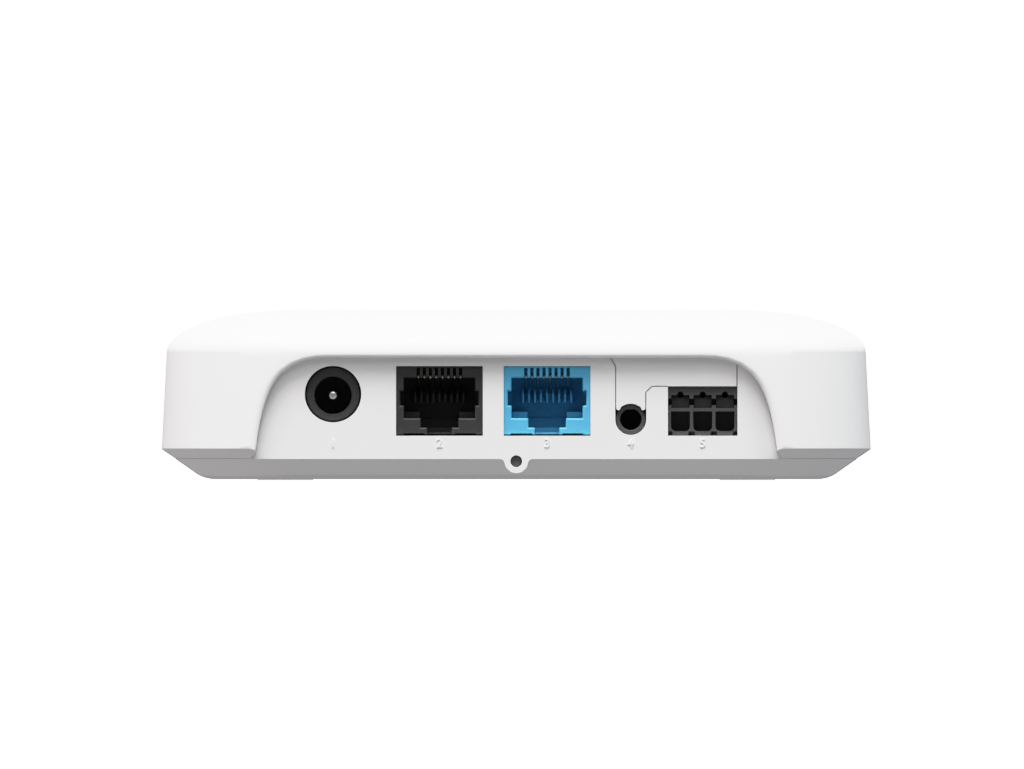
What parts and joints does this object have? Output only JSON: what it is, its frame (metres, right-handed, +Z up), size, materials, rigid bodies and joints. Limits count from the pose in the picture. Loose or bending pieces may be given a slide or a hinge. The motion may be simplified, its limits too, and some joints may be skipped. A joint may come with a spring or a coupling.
{
  "type": "irrigation controller",
  "caption": "Low domed square hub for irrigation: ports in an arched recess on one side, a reset button in a lobe below them, rubber feet underneath.",
  "frame": {"origin": "middle of the footprint, on the surface under the rubber feet", "axes": "+Z up; the ports face -Y; +X is to the right of someone who faces the ports"},
  "size_m": [0.1194, 0.1187, 0.0286],
  "materials": {
    "white_shell": "fine satin moulded white",
    "dark_plastic": "satin moulded black",
    "blue_plastic": "satin moulded light blue",
    "grey_plastic": "satin moulded dark grey",
    "foot_rubber": "soft matt rubber",
    "plated_metal": "plated, smooth",
    "steel": "plated, smooth",
    "board_green": "solder mask over glass fibre",
    "clear_plastic": "frosted clear moulding"
  },
  "bodies": {
    "housing": {"top_cover": "white_shell", "base_tray": "white_shell", "port_insert": "white_shell", "power_jack_body": "dark_plastic", "network_jack_body": "dark_plastic", "sense_jack_body": "dark_plastic", "terminal_body": "dark_plastic", "reset_switch": "dark_plastic", "processor": "dark_plastic", "network_transformer": "dark_plastic", "valve_relay_1": "dark_plastic", "valve_relay_2": "dark_plastic", "bus_transceiver": "dark_plastic", "inductor": "dark_plastic", "cell_holder": "dark_plastic", "valve_jack_body": "blue_plastic", "foot_port_left": "foot_rubber", "foot_port_right": "foot_rubber", "foot_far_left": "foot_rubber", "foot_far_right": "foot_rubber", "power_jack_pin": "plated_metal", "power_jack_leaf": "plated_metal", "network_jack_contacts": "plated_metal", "valve_jack_contacts": "plated_metal", "sense_jack_spring": "plated_metal", "terminal_clamp_1": "plated_metal", "terminal_clamp_2": "plated_metal", "terminal_clamp_3": "plated_metal", "antenna": "plated_metal", "case_screw_port_left": "steel", "case_screw_port_right": "steel", "case_screw_far_left": "steel", "case_screw_far_right": "steel", "board_screw_1": "steel", "board_screw_2": "steel", "board_screw_3": "steel", "board_screw_4": "steel", "radio_shield": "steel", "capacitor_1": "steel", "capacitor_2": "steel", "clock_cell": "steel", "main_board": "board_green", "light_pipe": "clear_plastic", "status_lamp": "clear_plastic"},
    "reset": {"reset_button": "grey_plastic", "reset_plunger": "grey_plastic"},
    "release_1": {"terminal_button_1": "dark_plastic"},
    "release_2": {"terminal_button_2": "dark_plastic"},
    "release_3": {"terminal_button_3": "dark_plastic"}
  },
  "joints": [
    {"name": "reset_press", "type": "slide", "parent": "housing", "child": "reset", "axis": [0, 1, 0], "range_m": [0, 0.0005], "stiffness_N_per_m": 1500},
    {"name": "release_1_press", "type": "slide", "parent": "housing", "child": "release_1", "axis": [0, 1, 0], "range_m": [0, 0.001], "stiffness_N_per_m": 2000},
    {"name": "release_2_press", "type": "slide", "parent": "housing", "child": "release_2", "axis": [0, 1, 0], "range_m": [0, 0.001], "stiffness_N_per_m": 2000},
    {"name": "release_3_press", "type": "slide", "parent": "housing", "child": "release_3", "axis": [0, 1, 0], "range_m": [0, 0.001], "stiffness_N_per_m": 2000}
  ]
}
